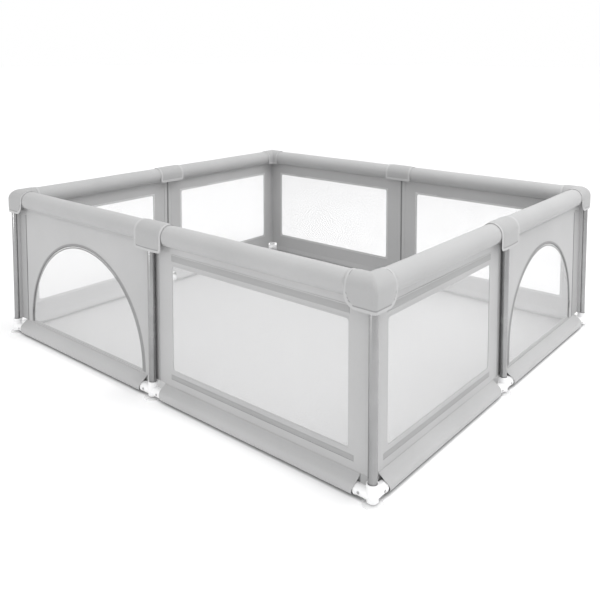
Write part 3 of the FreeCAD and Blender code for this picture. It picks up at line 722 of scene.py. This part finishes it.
# Distance from each point to the nearest place on a border line
def distanceTo(border, d, v):
    a, b = border[:-1], border[1:]
    p = np.stack([d, v], -1)[..., None, :]
    step = b - a
    share = np.clip(((p - a) * step).sum(-1) / np.maximum((step ** 2).sum(-1), 1e-12), 0, 1)
    return np.linalg.norm(p - (a + step * share[..., None]), axis=-1).min(-1)


def coverParts(spot, lowOuter, lowInner, reach, isCorner, seed):
    c = cover
    length = math.pi * c["inner"]
    # one arm from the corner or the middle (d = 0) to its end (d = reach); the border in flat form
    dBorder = np.linspace(-0.06 if isCorner else -reach, reach, 160)
    outerEdge = np.stack([dBorder, lowOuter(dBorder)], 1)
    innerEdge = np.stack([dBorder, length - lowInner(dBorder)], 1)
    ends = [np.array([(reach, outerEdge[-1, 1]), (reach, innerEdge[-1, 1])])]
    if not isCorner:
        ends.append(np.array([(-reach, outerEdge[0, 1]), (-reach, innerEdge[0, 1])]))
    t = np.concatenate([np.linspace(0, 0.30, 16)[:-1], np.linspace(0.30, 0.78, 24)[:-1], np.linspace(0.78, 1, 13)])

    def rows(d):
        low, high = lowOuter(d), length - lowInner(d)
        return low + (high - low) * t[:, None]

    if isCorner:
        # along one arm, round the corner and along the other: the turn is tight outside and sharp inside
        share = np.linspace(0, 1, 30) ** 0.85
        turn = np.linspace(0, math.pi / 2, 9)[1:-1]
    else:
        d = np.linspace(-reach, reach, 70)

    def raised(dd, v, level):
        # the point over the section, level 1 for the outer skin and 0 for the lining
        fromBorder = np.minimum.reduce([distanceTo(e, dd, v) for e in [outerEdge, innerEdge, *ends]])
        wave = c["ripple"] * ripples(dd, v, seed) * np.clip(fromBorder / c["rippleReach"], 0, 1)
        o, z = sectionPoint(v, c["inner"] + level * (coverHeight(fromBorder) + wave))
        return o, z, fromBorder

    def build(level):
        if not isCorner:
            v = rows(d[None])
            dd = np.broadcast_to(d[None], v.shape)
            o, z, fromBorder = raised(dd, v, level)
            return np.stack([dd, o - railIn, railZ + z], -1), v, fromBorder
        # along the arm, d runs from reach down past the corner's axis to the start of the turn
        v = rows(np.array([[0.0]]))
        o, _ = sectionPoint(v, c["inner"] + c["padding"])
        rounding = np.where(o > 0, c["ridge"] * np.clip(o / c["inner"], 0.1, 1), c["innerRidge"])
        turnStart = rounding - o
        dd = reach + (turnStart - reach) * share[None]
        v = rows(dd)
        o, z, fromBorder = raised(dd, v, level)
        armA = np.stack([-dd, o, railZ + z], -1)
        # the turn is a quarter circle about centre on both axes
        centre = -dd[:, -1:]
        size = o[:, -1:] - centre
        arcX, arcY = centre + size * np.sin(turn), centre + size * np.cos(turn)
        arc = np.stack([arcX, arcY, railZ + np.broadcast_to(z[:, -1:], arcX.shape)], -1)
        armB = armA[:, ::-1][..., [1, 0, 2]]

        def bothArms(values):
            return np.concatenate([values, np.repeat(values[:, -1:], len(turn), 1), values[:, ::-1]], 1)

        return np.concatenate([armA, arc, armB], 1) - (railIn, railIn, 0), bothArms(v), bothArms(fromBorder)

    outer, v, fromBorder = build(1)
    inner = build(0)[0]
    near = (fromBorder[:-1, :-1] + fromBorder[1:, 1:]) / 2
    # finish 2 is a narrow line at the seam's dip, painted darker as shade
    band = np.where(near < c["tape"] - 0.0010, 1, np.where(near < c["tape"] + 0.0006, 2, 0))
    along = lengthsAlong(outer[len(outer) // 2])
    flat = np.stack([np.broadcast_to(along[None], v.shape), v], -1)
    return shell(placed(outer, spot), placed(inner, spot), flat, finish=band)


# Lower edge of a corner cover: deep near the post and swept up to the end in a quarter ellipse
def lobeLow(d):
    start, end, drop = cover["lobeFlat"], cover["lobeEnd"], cover["outerDrop"]
    far = np.clip((np.abs(d) - start) / (cover["cornerReach"] - start), 0, 1)
    return np.where(d < 0, -drop, -end - (drop - end) * np.sqrt(1 - far ** 2))


# Lower edge of a mid cover: nearly straight, with rounded corners
def straightLow(drop, reach, bow=0.003, corner=0.014):
    def low(d):
        edge = np.clip((np.abs(d) - (reach - corner)) / corner, 0, 1)
        return -(drop - corner * 0.8 * (1 - np.sqrt(1 - edge ** 2 * 0.98)) - bow * (d / reach) ** 2)
    return low


def innerLow(d):
    return np.full(np.shape(d), -cover["innerDrop"])


def makeCover(name, parts):
    piece = makePiece(name, parts, [coverCloth, tapeCloth, coverSeamShade], sharp=50)
    return piece


coverPieces = []
for number, (name, spot) in enumerate(corners.items()):
    parts = coverParts(spot, lobeLow, innerLow, cover["cornerReach"], True, 20 + number)
    coverPieces.append(makeCover("corner_cover_" + name, parts))
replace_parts(coverPieces[0], "corner_covers")
midEdges = (straightLow(cover["outerDrop"], cover["midReach"]),
            straightLow(cover["innerDrop"], cover["midReach"], 0.001, 0.010))
for number, (name, spot) in enumerate(walls.items()):
    parts = coverParts(spot, *midEdges, cover["midReach"], False, 30 + number)
    coverPieces.append(makeCover("mid_cover_" + name, parts))
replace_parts(coverPieces[4], "mid_covers")
print("covers made")


# Doors: a netting sheet inside the arch with a narrow bound edge, and the zip round it

flap = {"inset": 0.0051, "binding": 0.0055, "thickness": 0.0014, "lift": 0.0012, "sill": 0.008, "sillUp": 0.004,
        "overlap": 0.002, "slack": 0.0010}
zipper = {"tape": (0.0075, 0.0009), "tapeOut": 0.0052, "tapeProud": 0.0003, "pitch": 0.0026, "toothLength": 0.0036,
          "toothWidth": 0.0015, "toothHeight": 0.0024, "past": 0.0008, "taper": 0.7}


def archFrame(door, inset, count=121, foot=None):
    path = archPath(door, inset, count, foot)
    step = np.gradient(path, axis=0)
    step /= np.linalg.norm(step, axis=1)[:, None]
    return path, step


def archStrip(wall, door, inset, section, depth, foot=None):
    path, step = archFrame(door, inset, foot=foot)
    hand = wall["door"]
    points = np.stack([path[:, 0] * hand, np.full(len(path), depth), path[:, 1]], -1)
    across = np.stack([-step[:, 1] * hand, np.zeros(len(path)), step[:, 0]], -1)
    part = swept(points, across, (0, 1, 0), section)
    part["points"] = placed(part["points"], wall)
    return part


# One side's teeth, each a small tapered block across the chain, repeated at the pitch along the arch; lean is 0 or 1
def zipTeeth(wall, door, lean):
    path, _ = archFrame(door, 0.0, 400)
    reach = lengthsAlong(path)
    spots = np.arange(zipper["pitch"] / 2 + lean * zipper["pitch"] / 2, reach[-1], zipper["pitch"])
    at = np.stack([np.interp(spots, reach, path[:, k]) for k in (0, 1)], 1)
    ahead, back = [np.stack([np.interp(spots + shift, reach, path[:, k]) for k in (0, 1)], 1)
                   for shift in (0.001, -0.001)]
    step = (ahead - back) / np.linalg.norm(ahead - back, axis=1)[:, None]
    across = np.stack([-step[:, 1], step[:, 0]], 1)
    w, l, h = zipper["toothWidth"] / 2, zipper["toothLength"], zipper["toothHeight"] / 2
    side = 1 if lean else -1
    block = np.array([(s * w * k, side * (zipper["past"] - l * (k < 1)), y * h) for k in (zipper["taper"], 1.0)
                      for s, y in ((-1, -1), (1, -1), (1, 1), (-1, 1))])
    flatPoints = at[:, None] + step[:, None] * block[None, :, :1] + across[:, None] * block[None, :, 1:2]
    depth = (panelOut + panelIn) / 2 + block[None, :, 2]
    points = np.stack([flatPoints[..., 0] * wall["door"], np.broadcast_to(depth, flatPoints.shape[:2]),
                       flatPoints[..., 1]], -1).reshape(-1, 3)
    corner = np.array([(0, 1, 2, 3), (7, 6, 5, 4), (0, 4, 5, 1), (1, 5, 6, 2), (2, 6, 7, 3), (3, 7, 4, 0)])
    faces = (np.arange(len(spots))[:, None, None] * 8 + corner[None]).reshape(-1, 4)
    return {"points": placed(points, wall), "faces": faces, "flat": np.zeros((len(faces) * 4, 2)),
            "finish": np.zeros(len(faces))}


def doorPieces(side):
    wall, door, body = walls[side], doors[side], side + "_door"
    hand, depth, low = wall["door"], (panelOut + panelIn) / 2, door["foot"] + flap["lift"]
    # netting: rings drawn in from the arch to its middle
    edge = archPath(door, flap["inset"] + flap["overlap"], 161, low)
    bottom = np.stack([np.linspace(edge[-1, 0], edge[0, 0], 60)[1:-1], np.full(58, edge[0, 1])], 1)
    ring = np.concatenate([edge, bottom])
    centre = np.array([door["middle"], door["spring"] + door["radius"] * 0.35])
    t = np.linspace(1, 0, 22)[:, None, None]
    grid = centre + (ring - centre)[None] * t
    bulge = -flap["slack"] * (1 - t[..., 0] ** 2) * np.ones(len(ring))
    points = np.stack([grid[..., 0] * hand, depth + bulge, grid[..., 1]], -1)
    flat = np.concatenate([grid, grid[:, :1]], 1)
    net = makePiece(f"door_netting_{side}", [surface(placed(points, wall), flat, wrapAcross=True)], [netting], body)
    # binding round the arch, and along the sill
    down = (0, flap["thickness"] / 2)
    inset = flap["inset"] + flap["binding"]
    binding = archStrip(wall, door, flap["inset"] + flap["binding"] / 2,
                        flatSection(flap["binding"], flap["thickness"]) - down, depth, low)
    sill = wallLine(wall, hand, door["middle"] - door["radius"] + inset, door["middle"] + door["radius"] - inset,
                    low + flap["sillUp"], low + flap["sillUp"],
                    flatSection(flap["sill"], flap["thickness"]) - down, depth)
    edgeTape = makePiece(f"door_binding_{side}", [binding, finished(sill, 1)], [zipCloth, panelCloth], body)
    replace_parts(net, "door_flap_" + side)
    tape = archStrip(wall, door, -zipper["tapeOut"], flatSection(*zipper["tape"]), panelOut + zipper["tapeProud"])
    teeth = [finished(zipTeeth(wall, door, lean), 1) for lean in (0, 1)]
    return makePiece("zip_" + side, [tape, *teeth], [zipCloth, toothPlastic])


zips = [doorPieces(side) for side in doors]
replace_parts(zips[0], "zip_chains")
print("doors made")


# CAD parts that are shown as they are

def dress(names, finish):
    for name in names:
        nodes[name].data.materials.clear()
        nodes[name].data.materials.append(finish)


dress(["top_rails_long", "top_rails_short"], innerSteel)
dress(["top_elbows", "top_tees"], hiddenPlastic)
dress(["button_clips"], innerSteel)
dress([n for n in nodes if n.startswith("rail_button_")], buttonMetal)
dress([n for n in nodes if n.startswith(("zip_slider_", "zip_pull_"))], sliderMetal)


# Floor, light and camera

studio = {"wide": 60, "floor": 0.95, "inside": 0.47, "glow": 0.08, "sky": 1.0, "key": 95, "fill": 4, "strip": 14}

# The floor glows a little all round the pen so that it stays evenly white, and inside the pen's footprint it is
# painted darker: painted shade standing in for the pen's own shade on the floor there
floorFinish, floorTree, floorShader = newFinish("studio_floor")
place = coordinates(floorTree)
cloud = noise(floorTree, place, 0.8, 2.0)
split = node(floorTree, "ShaderNodeSeparateXYZ", Vector=place)
reach = [maths(floorTree, "DIVIDE", maths(floorTree, "ABSOLUTE", split.outputs[k]), half)
         for k, half in (("X", halfX), ("Y", halfY))]
outside = node(floorTree, "ShaderNodeMapRange", Value=maths(floorTree, "MAXIMUM", *reach))
outside.inputs["From Min"].default_value, outside.inputs["From Max"].default_value = 1.004, 1.02
insideShadeAndCloud = mixed(floorTree, outside.outputs[0], 0.94, cloud)
# painted shade: inside the footprint the floor takes the darker inside value, mixed with a faint cloud of tone
floorTree.links.new(shades(floorTree, insideShadeAndCloud, grey(studio["inside"]), grey(studio["floor"])).outputs[0],
                    floorShader.inputs["Base Color"])
floorShader.inputs["Emission Color"].default_value = (1, 1, 1, 1)
floorTree.links.new(maths(floorTree, "MULTIPLY", outside.outputs[0], studio["glow"]),
                    floorShader.inputs["Emission Strength"])
floorShader.inputs["Roughness"].default_value = 0.9
floorShader.inputs["Specular IOR Level"].default_value = 0.1
floorMesh = bpy.data.meshes.new("floor")
wide = studio["wide"]
floorMesh.from_pydata([(-wide, -wide, 0), (wide, -wide, 0), (wide, wide, 0), (-wide, wide, 0)], [], [(0, 1, 2, 3)])
floorMesh.materials.append(floorFinish)
floor = bpy.data.objects.new("floor", floorMesh)
bpy.context.scene.collection.objects.link(floor)

world = bpy.data.worlds.new("studio")
world.use_nodes = True
world.node_tree.nodes["Background"].inputs["Color"].default_value = (1, 1, 1, 1)
world.node_tree.nodes["Background"].inputs["Strength"].default_value = studio["sky"]
bpy.context.scene.world = world
bpy.context.scene.view_settings.view_transform = "Standard"


def softLight(name, place, target, size, power):
    light = bpy.data.lights.new(name, "AREA")
    light.shape, light.size, light.energy = "DISK", size, power
    lamp = bpy.data.objects.new(name, light)
    lamp.location = place
    aim = np.array(target, float) - place
    lamp.rotation_euler = (math.atan2(math.hypot(aim[0], aim[1]), -aim[2]), 0, math.atan2(-aim[0], aim[1]))
    bpy.context.scene.collection.objects.link(lamp)


aimAt = (0, 0, 0.3)
softLight("overhead", (1.5, 0.5, 4.0), aimAt, 3.5, studio["key"])
softLight("side", (4.5, -1.5, 2.2), aimAt, 2.0, studio["fill"])
softLight("low_side", (-1.0, -4.5, 0.6), aimAt, 0.5, studio["strip"])

cameraData = bpy.data.cameras.new("camera")
cameraData.sensor_width, cameraData.lens = 36, 42.61
cameraData.shift_y = -0.325
camera = bpy.data.objects.new("camera", cameraData)
camera.location = (2.0387, -2.4503, 1.2619)
camera.rotation_euler = (math.radians(90 - 4.194), 0, math.radians(39.994))
bpy.context.scene.collection.objects.link(camera)
bpy.context.scene.camera = camera
print("studio made")
